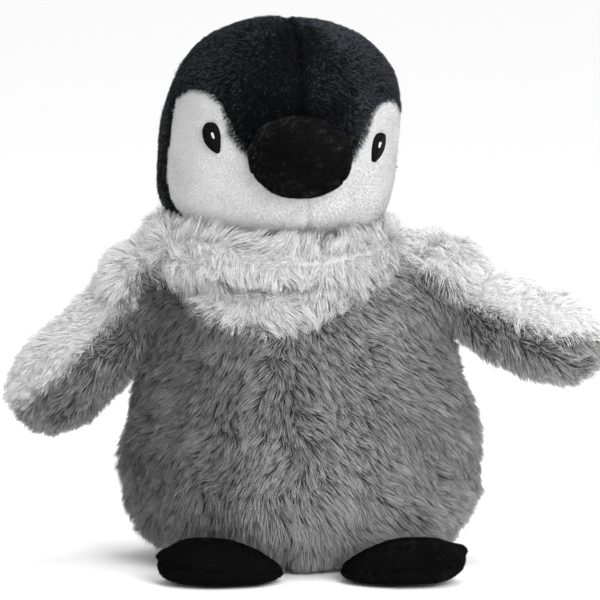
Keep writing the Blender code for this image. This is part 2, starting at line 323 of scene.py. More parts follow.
def cloth_material(name, dark, light, tint=(1, 1, 1), grain=900, bump=0.25, sheen=0.05, rough=0.9, patch=45, gloss=0.15):
    """Woven or napped cloth: a fine grain over slow changes of shade, with bump from the same grain."""
    material = bpy.data.materials.new(name)
    material.use_nodes = True
    tree = material.node_tree
    shader = shader_of(material)
    place = tree.nodes.new("ShaderNodeTexCoord")
    fine = tree.nodes.new("ShaderNodeTexNoise")
    fine.inputs["Scale"].default_value = grain
    fine.inputs["Detail"].default_value = 4
    slow = tree.nodes.new("ShaderNodeTexNoise")
    slow.inputs["Scale"].default_value = patch
    slow.inputs["Detail"].default_value = 3
    mixed = tree.nodes.new("ShaderNodeMath")
    mixed.operation = "MULTIPLY_ADD"
    mixed.inputs[1].default_value = 0.55
    shades = tree.nodes.new("ShaderNodeValToRGB")
    shades.color_ramp.elements[0].position = 0.32
    shades.color_ramp.elements[0].color = linear(dark, tint)
    shades.color_ramp.elements[1].position = 0.68
    shades.color_ramp.elements[1].color = linear(light, tint)
    halved = tree.nodes.new("ShaderNodeMath")
    halved.operation = "MULTIPLY"
    halved.inputs[1].default_value = 0.45
    relief = tree.nodes.new("ShaderNodeBump")
    relief.inputs["Strength"].default_value = bump
    relief.inputs["Distance"].default_value = 0.0006
    roughness = tree.nodes.new("ShaderNodeMapRange")
    roughness.inputs["To Min"].default_value = rough - 0.08
    roughness.inputs["To Max"].default_value = min(1.0, rough + 0.06)
    links = tree.links
    links.new(place.outputs["Object"], fine.inputs["Vector"])
    links.new(place.outputs["Object"], slow.inputs["Vector"])
    links.new(slow.outputs["Fac"], halved.inputs[0])
    links.new(fine.outputs["Fac"], mixed.inputs[0])
    links.new(halved.outputs[0], mixed.inputs[2])
    links.new(mixed.outputs[0], shades.inputs["Fac"])
    links.new(shades.outputs["Color"], shader.inputs["Base Color"])
    links.new(fine.outputs["Fac"], relief.inputs["Height"])
    links.new(relief.outputs["Normal"], shader.inputs["Normal"])
    links.new(fine.outputs["Fac"], roughness.inputs["Value"])
    links.new(roughness.outputs["Result"], shader.inputs["Roughness"])
    shader.inputs["Specular IOR Level"].default_value = gloss
    shader.inputs["Sheen Weight"].default_value = sheen
    shader.inputs["Sheen Roughness"].default_value = 0.45
    return material


# ---------------------------------------------------------------- pile


def scatter(mesh, density, dice):
    """Points strewn evenly over a mesh, so many to the square metre, and the surface's normals there."""
    mesh.calc_loop_triangles()
    corners = np.empty(len(mesh.loop_triangles) * 3, np.int32)
    mesh.loop_triangles.foreach_get("vertices", corners)
    corners = corners.reshape(-1, 3)
    points = coordinates(mesh)[corners]
    normals = point_normals(mesh)[corners]
    areas = 0.5 * np.linalg.norm(np.cross(points[:, 1] - points[:, 0], points[:, 2] - points[:, 0]), axis=1)
    total = areas.sum()
    count = int(total * density)
    along = (np.arange(count) + dice.random(count)) / count * total
    chosen = np.searchsorted(np.cumsum(areas), along).clip(max=len(areas) - 1)
    root = np.sqrt(dice.random(count))
    share = dice.random(count)
    weights = np.stack([1 - root, root * (1 - share), root * share], axis=1)[:, :, None]
    return (points[chosen] * weights).sum(axis=1), unit((normals[chosen] * weights).sum(axis=1))


def fibre_paths(roots, normals, flow, lengths, up, lie, droop, spread, rings, dice):
    """The points along each fibre: it leaves the cloth, leans with the flow and droops a little."""
    along = unit(flow - normals * (flow * normals).sum(axis=1, keepdims=True) + 1e-9)
    heading = unit(normals * up + along * lie + dice.normal(scale=spread, size=roots.shape))
    path = [roots - normals * np.minimum(0.2 * lengths, 0.6 * MM)[:, None]]
    step = (lengths / rings)[:, None]
    for _ in range(rings):
        path.append(path[-1] + heading * step)
        heading = unit(heading + along * 0.3 * lie + np.array((0, 0, -droop)))
    return np.stack(path, axis=1)


def gathered_in_tufts(paths, roots, tuft_size, pull, dice, normals):
    """Draws the fibres' ends together into tufts. Also returns which tuft each fibre is in."""
    count = max(1, int(len(roots) * min(1.0, 1.0 / max(1.0, tuft_size))))
    centres = dice.permutation(len(roots))[:count]
    tree = KDTree(count)
    for i, centre in enumerate(centres):
        tree.insert(roots[centre], i)
    tree.balance()
    tuft = np.array([tree.find(root)[1] for root in roots])
    share = np.linspace(0, 1, paths.shape[1])[None, :, None] ** 1.2 * pull
    share = share * dice.uniform(0.75, 1.15, size=(len(roots), 1, 1)).clip(max=1.0)
    return paths + (paths[centres][tuft] - paths) * share, tuft


def fibres_mesh(name, paths, widths, shade, shades, root_painted_shade, tip_painted_light, dice):
    """Closed three-sided fibres that taper to a point, each with painted shade at its root and painted light at its
    tip.
    """
    count = len(paths)
    rings = paths.shape[1] - 1
    heading = unit(paths[:, 1:] - paths[:, :-1])
    across = unit(np.cross(heading[:, 0], dice.normal(size=(count, 3))))
    points = np.empty((count, rings * 3 + 1, 3), np.float32)
    for k in range(rings):
        side = unit(across - heading[:, k] * (across * heading[:, k]).sum(axis=1, keepdims=True))
        other = np.cross(heading[:, k], side)
        width = widths * (1.0 - 0.55 * k / rings)
        for j in range(3):
            turn = 2 * math.pi * j / 3
            offset = side * math.cos(turn) + other * math.sin(turn)
            points[:, k * 3 + j] = paths[:, k] + offset * width[:, None]
    points[:, -1] = paths[:, -1]
    points[:, :, 2] = np.maximum(points[:, :, 2], 0.3 * MM)

    pattern = [0, 2, 1]
    sizes = [3]
    levels = [0]
    for k in range(rings - 1):
        for j in range(3):
            i = (j + 1) % 3
            pattern += [k * 3 + j, k * 3 + i, (k + 1) * 3 + i, (k + 1) * 3 + j]
            sizes.append(4)
            levels.append(k)
    for j in range(3):
        pattern += [(rings - 1) * 3 + j, (rings - 1) * 3 + (j + 1) % 3, rings * 3]
        sizes.append(3)
        levels.append(rings - 1)
    per_fibre = rings * 3 + 1
    loops = (np.array(pattern)[None, :] + np.arange(count)[:, None] * per_fibre).ravel()
    totals = np.tile(np.array(sizes), count)
    starts = np.concatenate([[0], np.cumsum(totals)[:-1]])

    mesh = bpy.data.meshes.new(name)
    mesh.vertices.add(count * per_fibre)
    mesh.vertices.foreach_set("co", points.ravel())
    mesh.loops.add(len(loops))
    mesh.loops.foreach_set("vertex_index", loops.astype(np.int32))
    mesh.polygons.add(len(totals))
    mesh.polygons.foreach_set("loop_start", starts.astype(np.int32))
    mesh.polygons.foreach_set("loop_total", totals.astype(np.int32))
    mesh.polygons.foreach_set("use_smooth", np.ones(len(totals), bool))
    # Painted shade at the root and painted light at the tip: each fibre's shade steps darker at its root and lighter
    # at its tip.
    lift = np.interp(np.array(levels), [0, max(1, rings - 1)], [-root_painted_shade, tip_painted_light])
    index = np.rint(shade[:, None] + lift[None, :]).clip(0, len(shades) - 1)
    mesh.polygons.foreach_set("material_index", index.astype(np.int32).ravel())
    for material in shades:
        mesh.materials.append(material)
    mesh.update(calc_edges=True)
    mesh.validate()
    return mesh


def grow(
    name,
    skin,
    slot,
    shades,
    density,
    length,
    flow,
    seed,
    up=0.8,
    lie=0.8,
    droop=0.15,
    spread=0.22,
    tuft=14,
    pull=0.6,
    width=0.2 * MM,
    rings=3,
    tone=None,
    tone_spread=0.9,
    root_painted_shade=1.2,
    tip_painted_light=0.8,
    longer=None,
    keep=None,
):
    """Grows pile on a skin and returns its pieces, each small enough to be kept whole."""
    dice = np.random.default_rng(seed)
    roots, normals = scatter(skin.data, density * 1e4, dice)
    if keep is not None:
        kept = keep(roots, normals)
        roots = roots[kept]
        normals = normals[kept]
    around = np.argsort(np.arctan2(roots[:, 0] - roots[:, 0].mean(), roots[:, 1] - roots[:, 1].mean()), kind="stable")
    roots = roots[around]
    normals = normals[around]
    lengths = length * dice.uniform(0.7, 1.12, len(roots))
    lengths = lengths * (1 + 0.12 * ripple(roots, 22 * MM, seed + 1))
    if longer is not None:
        lengths = lengths * longer(roots)
    paths = fibre_paths(roots, normals, flow(roots, normals), lengths, up, lie, droop, spread, rings, dice)
    tufts = np.zeros(len(roots), int)
    if tuft > 1:
        paths, tufts = gathered_in_tufts(paths, roots, tuft, pull, dice, normals)
    shade = (len(shades) - 1) / 2 + dice.normal(scale=tone_spread * 0.5, size=len(roots))
    shade = shade + dice.normal(scale=tone_spread * 0.7, size=tufts.max() + 1)[tufts]
    shade = shade + 0.5 * tone_spread * ripple(roots, 30 * MM, seed + 2)
    if tone is not None:
        shade = shade + tone(roots)
    widths = width * dice.uniform(0.75, 1.2, len(roots))
    triangles = 6 * (rings - 1) + 4
    most = 185000 // triangles
    parts = max(1, math.ceil(len(roots) / most))
    grown = []
    for i, chosen in enumerate(np.array_split(np.arange(len(roots)), parts)):
        label = name if parts == 1 else f"{name}_{i + 1}"
        mesh = fibres_mesh(label, paths[chosen], widths[chosen], shade[chosen], shades, root_painted_shade, tip_painted_light, dice)
        piece = new_object(label, mesh)
        grown.append(piece)
    return grown


def wandering(roots, size, amount, seed):
    """A slowly changing direction, which swirls the pile."""
    return amount * np.stack([ripple(roots, size, seed + axis) for axis in range(3)], axis=1)


# ---------------------------------------------------------------- panels of a skin


def tree_of(mesh):
    form = bmesh.new()
    form.from_mesh(mesh)
    tree = BVHTree.FromBMesh(form)
    form.free()
    return tree


def face_centres(mesh):
    flat = np.empty(len(mesh.polygons) * 3, np.float32)
    mesh.polygons.foreach_get("center", flat)
    return flat.reshape(-1, 3).astype(float)


def panels(item, groups):
    """Which group of frame nodes each face of the skin belongs to: the one with the nearest node."""
    centres = [Vector(centre) for centre in face_centres(item.data)]
    nearest = np.full(len(centres), 1e9)
    owner = np.zeros(len(centres), int)
    for number, nodes in enumerate(groups):
        for node in nodes:
            tree = tree_of(NODES[node].data)
            distances = np.array([tree.find_nearest(centre)[3] for centre in centres])
            closer = distances < nearest - 1e-6
            nearest[closer] = distances[closer]
            owner[closer] = number
    return owner


def cut_panel(item, name, chosen, material, hem=3 * MM):
    """A piece with the chosen faces of a skin, its edges turned in along the seams as sewn cloth is."""
    form = bmesh.new()
    form.from_mesh(item.data)
    form.faces.ensure_lookup_table()
    doomed = [form.faces[int(i)] for i in np.nonzero(~chosen)[0]]
    bmesh.ops.delete(form, geom=doomed, context="FACES")
    form.normal_update()
    edge = [e for e in form.edges if e.is_boundary]
    inward = {v: v.normal.copy() for e in edge for v in e.verts}
    new = bmesh.ops.extrude_edge_only(form, edges=edge)["geom"]
    moved = [v for v in new if isinstance(v, bmesh.types.BMVert)]
    places = {tuple(round(c, 7) for c in v.co): normal for v, normal in inward.items()}
    for v in moved:
        v.co -= places.get(tuple(round(c, 7) for c in v.co), Vector((0, 0, 0))) * hem
    for face in form.faces:
        face.smooth = True
    mesh = bpy.data.meshes.new(name)
    form.to_mesh(mesh)
    form.free()
    mesh.materials.clear()
    mesh.materials.append(material)
    return new_object(name, mesh)


# ---------------------------------------------------------------- body, bib and back yoke


BODY_NODES = ["body_front_left", "body_front_right", "body_back_left", "body_back_right"]
BIB_NODES = ["bib_left", "bib_right"]
CENTRE_SEAM_X = -6 * MM

# Where the light bib and shoulders meet the dark body, seen from the front, as (x, z) in millimetres.
LIGHT_EDGE = (
    (-100, 116), (-90, 122), (-83, 129), (-77, 144), (-66, 140), (-47, 130), (-32, 121), (-16, 118), (0, 121),
    (18, 130), (34, 139), (50, 150), (62, 143), (69, 139), (81, 129), (92, 124), (100, 122),
)

CHIN_SEAM_X = 4 * MM
FOOT_NODES = {side: [f"foot_{side}_top", f"foot_{side}_sole"] for side in SIDES}


def neck_rolls(form):
    """The bib's upper roll round the neck, and the padded shoulders over the wings' roots."""
    ring(form, Vector((-10, -3, 156)) * MM, (53 * MM, 49 * MM), 12.5 * MM, 3 * MM, 8 * MM)
    ellipsoid(form, Vector((-10, -42, 127)) * MM, Vector((46, 18, 11)) * MM)
    ellipsoid(form, Vector((-71, 0, 134)) * MM, Vector((29, 30, 24)) * MM)
    ellipsoid(form, Vector((68, 0, 137)) * MM, Vector((27, 30, 23)) * MM)


def body_seams(points):
    """Where the body's skin is sewn: down the centres and the sides, along the bib's edge and at the base."""
    centre = np.abs(points[:, 0] - CENTRE_SEAM_X) < 2.0 * MM
    sides = (np.abs(points[:, 1]) < 2.2 * MM) & (np.abs(points[:, 0]) > 50 * MM)
    base = points[:, 2] < 6 * MM
    across = points[:, 0] / MM
    under_roll = (np.abs(points[:, 2] - 137 * MM) < 2.2 * MM) & (across > -50) & (across < 12)
    return centre | sides | base | (under_roll & (points[:, 1] < 0))


def body_flow(roots, normals):
    """Down, and away from the front's centre seam, more so on the right."""
    flow = np.zeros_like(roots)
    front = np.interp(roots[:, 1], [-10 * MM, 20 * MM], [1.0, 0.2])
    flow[:, 0] = np.interp(roots[:, 0] / MM, [-60, -9, -3, 20, 70], [-0.55, -0.25, 0.35, 0.9, 0.9]) * front
    flow[:, 2] = -0.9
    return flow + wandering(roots, 34 * MM, 0.5, 11) + wandering(roots, 14 * MM, 0.3, 15)


def crease_height(across):
    """How high the fold between the bib's two rolls runs, in millimetres."""
    return np.interp(across, [-60, -42, -34, -9, 20, 50], [149, 145, 140.5, 138.5, 142, 151])


def bib_flow(roots, normals):
    """Out and down, but up against the chin along the top of the neck's roll."""
    away = roots - np.array((-10 * MM, -3 * MM, 0))
    away[:, 2] = 0
    inner = np.linalg.norm(away[:, :2], axis=1) < 58 * MM
    top = np.interp(roots[:, 1] / MM, [-50, 0], [150, 157]) * MM + 5 * MM * ripple(roots, 22 * MM, 29)
    rise = np.where(inner, np.interp((roots[:, 2] - top) / MM, [-4, 4], [-0.8, 0.55]), -0.8)
    flow = unit(away) * np.where(rise > 0, -0.2, 0.5)[:, None]
    flow[:, 0] += np.interp(roots[:, 0] / MM, [-60, -20, 10, 50], [0.7, 0.9, 0.1, -0.5])
    flow[:, 2] += rise
    return flow + wandering(roots, 30 * MM, 0.9, 31) + wandering(roots, 12 * MM, 0.5, 35)


def build_body(feet_trees):
    skin = remeshed("body_form", BODY_NODES + BIB_NODES + ["body_stuffing", "yoke_back", "base_panel"], 4 * MM, neck_rolls)
    sunk(skin, LONG_SINK)
    skin = subdivided(inflated(skin, body_seams, 4.0, 5 * MM))
    mesh = skin.data
    points = coordinates(mesh)
    local = points / MM
    depth = np.interp(local[:, 0], [-66, -46, -38, -8, 20, 50], [0, 1, 9, 9, 2, 0])
    crease = depth * np.exp(-(((local[:, 2] - crease_height(local[:, 0])) / 2.8) ** 2)) * (local[:, 1] < 0)
    seam = 1.8 * np.exp(-(((points[:, 0] - CENTRE_SEAM_X) / (3 * MM)) ** 2)) * (local[:, 1] < 0) * (local[:, 2] < 110)
    lump = 0.8 * ripple(points, 38 * MM, 5)
    for place, reach, height in (((84, 0, 58), 34, 3.6), ((-84, 0, 48), 34, 1.8)):
        away = np.linalg.norm(local - np.array(place), axis=1)
        lump += height * np.exp(-((away / reach) ** 2))
    points += point_normals(mesh) * ((lump - crease - seam) * MM)[:, None]
    points[:, 2] = np.maximum(points[:, 2], 0.5 * MM)
    set_coordinates(mesh, points)
    owner = panels(skin, [BODY_NODES, BIB_NODES, ["yoke_back"], ["base_panel"]])
    centres = face_centres(mesh)
    upper = owner <= 2
    edge = np.interp(centres[:, 0], *(np.array(LIGHT_EDGE).T * MM))
    light_side = (centres[:, 1] < 12 * MM) | (centres[:, 2] > 154 * MM)
    light_area = light_side & (centres[:, 2] > edge)
    owner[upper & light_area] = 1
    owner[(owner == 1) & ~light_area] = 0

    dark_cloth = cloth_material("body_backing", 46, 62, grain=700)
    light_cloth = cloth_material("bib_backing", 172, 194, grain=700)
    sole_cloth = cloth_material("base_cloth", 40, 58, grain=1400)
    body = cut_panel(skin, "body_skin", owner == 0, dark_cloth)
    bib = cut_panel(skin, "bib_skin", owner == 1, light_cloth)
    yoke = cut_panel(skin, "yoke_skin", owner == 2, light_cloth)
    base = cut_panel(skin, "base_skin", owner == 3, sole_cloth)
    bpy.data.objects.remove(skin, do_unlink=True)

    def clear_of_feet(roots, normals):
        free = np.ones(len(roots), bool)
        for tree in feet_trees:
            for i in np.nonzero((roots[:, 2] < 45 * MM) & (roots[:, 1] < 0))[0]:
                if tree.find_nearest(Vector(roots[i]), 2.5 * MM)[0] is not None:
                    free[i] = False
        return free & ~((roots[:, 2] < 3 * MM) & (normals[:, 2] < -0.8))

    dark = fibre_shades("dark_grey_fibre", (100, 114, 128, 142, 156, 170, 184))
    # The two darkest light greys are painted shade for the bib's fold; the yoke goes without them.
    light = fibre_shades("light_grey_fibre", (130, 170, 202, 211, 220, 228, 235, 241, 246))
    fluffy = dict(up=1.0, lie=0.75, droop=0.1, tuft=20, pull=0.5, width=0.135 * MM)

    def longer_at_chin(roots):
        away = np.linalg.norm(roots[:, :2] - np.array((-10, -3)) * MM, axis=1)
        return np.where(away < 56 * MM, np.interp(roots[:, 2] / MM, [148, 158], [1.0, 1.5]), 1.0)

    def bib_painted_shade(roots):
        """Painted shade: darker down in the fold between the rolls and under the chin."""
        local = roots / MM
        fold = np.exp(-(((local[:, 2] - crease_height(local[:, 0])) / 2.2) ** 2))
        fold = fold * np.interp(local[:, 0], [-46, -38, -8, 12], [0, 1, 1, 0]) * (local[:, 1] < 0)
        right_side_shade = np.interp(local[:, 0], [5, 30, 44, 52], [0.0, -2.2, -2.2, 0.0])
        return 1.8 - 6.5 * fold + right_side_shade

    def longer_over_feet(roots):
        low_front = (roots[:, 2] < 42 * MM) & (roots[:, 1] < -35 * MM)
        return np.where(low_front, 1.3, 1.0)

    def body_painted_light_and_shade(roots):
        """Painted light and shade: paler in the middle of the front and towards the base, darker on the left side,
        away from the light.
        """
        across = np.interp(roots[:, 0] / MM, [-85, -50, -20, 20, 60, 85], [-2.3, -1.8, 0.6, 1.5, 0.0, -0.6])
        height = np.interp(roots[:, 2] / MM, [20, 90], [0.9, 0.0])
        return np.where(roots[:, 1] < 0, across + height, height * 0.5)

    grown = grow(
        "body_pile", body, "dark_grey_plush", dark, 145, 9.5 * MM, body_flow, 101,
        keep=clear_of_feet, tone=body_painted_light_and_shade, longer=longer_over_feet, **fluffy,
    )
    grown += grow("yoke_pile", yoke, "light_grey_plush", light[2:], 140, 9 * MM, body_flow, 111, **fluffy)
    grown += grow(
        "bib_pile", bib, "light_grey_plush", light, 145, 10 * MM, bib_flow, 121,
        longer=longer_at_chin, tone=bib_painted_shade, tone_spread=0.55, root_painted_shade=0.8, **fluffy,
    )

    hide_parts(*BODY_NODES, "body_stuffing", "pouch_top", "pouch_bottom", "pouch_grain")
    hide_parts(*BIB_NODES)
    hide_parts("yoke_back")
    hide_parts("base_panel")
    for piece in [body, bib, yoke, base] + grown:
        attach(piece, "body")
    return body


# ---------------------------------------------------------------- head


CROWN_NODES = ["crown_left", "crown_right"]
CHEEK_NODES = ["cheek_left", "cheek_right"]


def in_head(points):
    """Points in the head's own axes."""
    inverse = np.array(HEAD.inverted())
    return points @ inverse[:3, :3].T + inverse[:3, 3]


def head_seams(points):
    local = in_head(points)
    crown = (np.abs(local[:, 0]) < 1.8 * MM) & (local[:, 2] > -5 * MM)
    chin = (np.abs(points[:, 0] - CHIN_SEAM_X) < 1.6 * MM) & (local[:, 1] < 0) & (local[:, 2] < -20 * MM)
    return crown | chin | (local[:, 2] < -48 * MM)


def shape_head(mesh):
    """The stuffing's unevenness: a full right brow and left jowl, and the parting of the crown's two halves."""
    points = coordinates(mesh)
    local = in_head(points) / MM
    swell = np.zeros(len(points))
    for place, reach, height in (((46, -5, 30), 26, 4.2), ((-54, 5, -26), 20, 1.6), ((-44, 0, 30), 26, -1.2)):
        away = np.linalg.norm(local - np.array(place), axis=1)
        swell += height * np.exp(-((away / reach) ** 2))
    parting = np.exp(-((local[:, 0] / 1.5) ** 2)) * (local[:, 2] > -4)
    lump = 0.35 * ripple(points, 30 * MM, 45)
    chin = np.exp(-(((points[:, 0] - CHIN_SEAM_X) / (1.6 * MM)) ** 2)) * (local[:, 2] < -26) * (local[:, 1] < 0)
    set_coordinates(mesh, points + point_normals(mesh) * ((swell - 1.5 * parting - 1.3 * chin + lump) * MM)[:, None])


def build_head(places):
    skin = remeshed("head_form", CROWN_NODES + CHEEK_NODES + ["head_back", "head_stuffing"], 3.2 * MM)
    sunk(skin, SHORT_SINK)
    skin = subdivided(inflated(skin, head_seams, 3.0, 2.5 * MM))
    shape_head(skin.data)
    owner = panels(skin, [CROWN_NODES, CHEEK_NODES, ["head_back"]])
    local = in_head(face_centres(skin.data)) / MM
    back_edge = np.interp(local[:, 2], [-6, 3, 12], [-5, -8, -13])
    owner[(local[:, 0] > 0) & (local[:, 1] > -20) & (local[:, 1] < back_edge) & (local[:, 2] < 11)] = 1
    black_cloth = cloth_material("crown_backing", 8, 14, tint=(0.92, 0.98, 1.08), grain=1100, sheen=0.0, gloss=0.03)
    white_cloth = cloth_material("cheek_cloth", 192, 202, grain=1100, bump=0.15, sheen=0.0)
    crown = cut_panel(skin, "crown_skin", owner == 0, black_cloth)
    cheeks = cut_panel(skin, "cheek_skin", owner == 1, white_cloth)
    nape = cut_panel(skin, "nape_skin", owner == 2, black_cloth)
    skin_tree = tree_of(skin.data)
    bpy.data.objects.remove(skin, do_unlink=True)
    cheek_tree = tree_of(cheeks.data)

    def crown_flow(roots, normals):
        flow = np.zeros_like(roots)
        local = in_head(roots)
        flow[:, 0] = local[:, 0] * 8
        flow[:, 1] = 0.5
        flow[:, 2] = -0.6
        flow += wandering(roots, 18 * MM, 0.35, 41)
        for i, root in enumerate(roots):
            found = cheek_tree.find_nearest(Vector(root), 6 * MM)
            if found[0] is not None:
                toward = np.array(found[0]) - root
                flow[i] = flow[i] * 0.3 + unit(toward + 1e-9) * 1.6 + np.array((0, 0, -0.4))
        return flow

    def fringe(roots):
        """Longer where the crown overhangs the cheeks, most of all beside the beak."""
        near = np.ones(len(roots))
        local = in_head(roots) / MM
        for i, root in enumerate(roots):
            if local[i, 1] < -14 and cheek_tree.find_nearest(Vector(root), 4 * MM)[0] is not None:
                near[i] = np.interp(local[i, 2], [-10, 0, 12], [2.4, 2.1, 1.35])
        return near

    def off_the_eyes(roots, normals):
        return np.array([not any(place.covers(root) for place in places.values()) for root in roots])

    def cheek_flow(roots, normals):
        return np.array((0.0, 0.0, -1.0)) + wandering(roots, 16 * MM, 0.6, 51)

    black = fibre_shades("black_fibre", (5, 10, 17, 26, 37, 50, 66), tint=(0.88, 0.98, 1.14), sheen=0.0, gloss=0.04)
    white = fibre_shades("white_fibre", (182, 189, 195, 200, 205, 209), sheen=0.0)

    def crown_painted_sheen_and_shade(roots):
        # Painted sheen on the crown's right and paler on the left, with painted shade along the parting and above the
        # beak.
        local = in_head(roots) / MM
        tone = np.interp(local[:, 0], [-30, -5, 0, 5, 30], [0.9, -0.4, -3.0, 0.6, 2.5])
        shade_over_beak = np.exp(-(((local[:, 2] - 8) / 14) ** 2)) * (local[:, 1] < -30) * (np.abs(local[:, 0]) < 26)
        return tone - 1.6 * shade_over_beak

    def cheek_painted_light(roots):
        # Painted light: the white cheeks are paler on the left.
        return np.interp(in_head(roots)[:, 0] / MM, [-20, 20], [1.5, 0.2])

    grown = grow(
        "crown_pile", crown, "black_plush", black, 230, 3.0 * MM, crown_flow, 201,
        up=0.85, lie=0.85, tuft=7, pull=0.4, width=0.15 * MM, rings=2, longer=fringe, root_painted_shade=1.2,
        tone=crown_painted_sheen_and_shade, tone_spread=1.6,
    )
    grown += grow(
        "nape_pile", nape, "black_plush", black, 210, 2.7 * MM, crown_flow, 211,
        up=0.7, lie=0.9, tuft=6, pull=0.35, width=0.15 * MM, rings=2, root_painted_shade=1.2, tone_spread=1.4,
    )
    grown += grow(
        "cheek_pile", cheeks, "white_plush", white, 300, 1.6 * MM, cheek_flow, 221,
        up=0.7, lie=0.9, spread=0.14, tuft=3, pull=0.2, width=0.17 * MM, rings=2,
        root_painted_shade=0.2, tip_painted_light=0.3, tone_spread=0.4, tone=cheek_painted_light,
        keep=off_the_eyes,
    )
    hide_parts(*CROWN_NODES, "head_stuffing")
    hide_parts("head_back")
    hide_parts(*CHEEK_NODES)
    for piece in [crown, cheeks, nape] + grown:
        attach(piece, "head")
    return skin_tree


# ---------------------------------------------------------------- eyes


def teardrop(along):
    """Half the width of an eye at a place from -1, its point, to 1, its round end."""
    return math.sqrt(max(0.0, 1 - along * along)) * ((1.04 + along) / 2.04) ** 0.38


class EyePlace:
    """A flat place on the cheek that an eye is embroidered on, tilted with the eye."""

    def __init__(self, side):
        sign = SIDES[side]
        low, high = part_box(f"eye_{side}")
        self.middle = (low + high) / 2 - HEAD.to_3x3() @ Vector((sign * (3.4 if side == "left" else 1.4), 0, 0.1)) * MM
        outward = self.middle - HEAD_CENTRE
        up = HEAD.to_3x3() @ Vector((0, 0, 1))
        outward = (outward - up * outward.dot(up)).normalized()
        across = up.cross(outward).normalized()
        tilt = math.radians(31) * sign
        self.out = outward
        self.across = across * math.cos(tilt) - up * math.sin(tilt)
        self.up = up * math.cos(tilt) + across * math.sin(tilt)
        self.half_width = 6.6 * MM
        self.half_height = 7.6 * MM

    def covers(self, point, margin=0.6 * MM):
        offset = Vector(point) - self.middle
        if offset.dot(self.out) < -12 * MM:
            return False
        along = offset.dot(self.up) / (self.half_height + margin)
        if abs(along) >= 1:
            return False
        return abs(offset.dot(self.across)) < self.half_width * teardrop(along) + margin

    def on_skin(self, tree, across, up, lift):
        start = self.middle + self.across * across + self.up * up + self.out * 20 * MM
        found, normal, _, _ = tree.ray_cast(start, -self.out)
        if found is None:
            found, normal = start - self.out * 20 * MM, self.out
        return found + normal * lift


def tube(form, path, radius, sides=6):
    """A closed round thread along the path."""
    rows = []
    for i, point in enumerate(path):
        before = path[max(0, i - 1)]
        after = path[min(len(path) - 1, i + 1)]
        heading = (after - before).normalized()
        side = heading.orthogonal().normalized()
        other = heading.cross(side)
        row = []
        for j in range(sides):
            turn = 2 * math.pi * j / sides
            row.append(form.verts.new(point + (side * math.cos(turn) + other * math.sin(turn)) * radius))
        rows.append(row)
    for row, following in zip(rows, rows[1:]):
        for j in range(sides):
            k = (j + 1) % sides
            form.faces.new((row[j], row[k], following[k], following[j]))
    form.faces.new(list(reversed(rows[0])))
    form.faces.new(rows[-1])


def stitches(name, place, tree, centre, half_width, half_height, spacing, lift, radius, lean, material):
    """Satin stitches side by side across a teardrop, each one thread arched over the cloth."""
    form = bmesh.new()
    count = max(3, int(2 * half_height / spacing))
    for i in range(count):
        along = -1 + 2 * (i + 0.5) / count
        reach = half_width * teardrop(along) + 0.25 * MM * math.sin(i * 2.4)
        path = []
        for step in range(9):
            t = -1 + 2 * step / 8
            arch = lift * max(0.0, 1 - t**4) - 1.4 * MM * max(0.0, abs(t) - 0.85) / 0.15
            across = centre[0] + reach * t
            up = centre[1] + half_height * along + reach * t * lean
            path.append(place.on_skin(tree, across, up, arch))
        tube(form, path, radius * (1 + 0.08 * math.sin(i * 1.7)))
    for face in form.faces:
        face.smooth = len(face.verts) == 4
    mesh = bpy.data.meshes.new(name)
    form.to_mesh(mesh)
    form.free()
    mesh.materials.append(material)
    return new_object(name, mesh)


def thread_material(name, dark, light, tint=(1, 1, 1)):
    """Shiny twisted embroidery thread."""
    material = cloth_material(
        name, dark, light, tint, grain=2600, bump=0.35, sheen=0.0, rough=0.55, patch=300, gloss=0.08
    )
    return material


def build_eyes(places, tree):
    black = thread_material("black_eye_thread", 3, 8, tint=(0.95, 0.98, 1.06))
    white = thread_material("white_eye_thread", 205, 240)
    for side, place in places.items():
        inner = -SIDES[side]
        eye = stitches(
            f"eye_{side}_stitching", place, tree, (0, 0), place.half_width, place.half_height,
            0.46 * MM, 1.9 * MM, 0.36 * MM, 0.12, black,
        )
        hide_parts(f"eye_{side}")
        glint = stitches(
            f"eye_{side}_glint_stitching", place, tree, (inner * 1.7 * MM, 0.6 * MM), 1.1 * MM, 1.5 * MM,
            0.55 * MM, 2.5 * MM, 0.26 * MM, 0.3, white,
        )
        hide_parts(f"eye_{side}_glint")
        for piece in (eye, glint):
            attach(piece, "head")


# ---------------------------------------------------------------- beak


def velour_fuzz(name, skin, material_shades, seed, keep=None):
    """The short dense nap of velour, which softens its outline."""

    def flow(roots, normals):
        return np.array((0.0, -0.2, -1.0)) + wandering(roots, 12 * MM, 0.5, seed + 5)

    def painted_sheen_patches(roots):
        """Painted sheen: the velour is paler and darker in random patches, as light catches its nap."""
        return 1.0 * ripple(roots, 9 * MM, seed + 7) + 1.3 * ripple(roots, 3.2 * MM, seed + 8) - 0.3

    return grow(
        name, skin, "black_velour", material_shades, 330, 1.1 * MM, flow, seed,
        up=0.9, lie=0.6, tuft=1, width=0.12 * MM, rings=1, root_painted_shade=0, tip_painted_light=0,
        tone_spread=1.6, tone=painted_sheen_patches, keep=keep,
    )


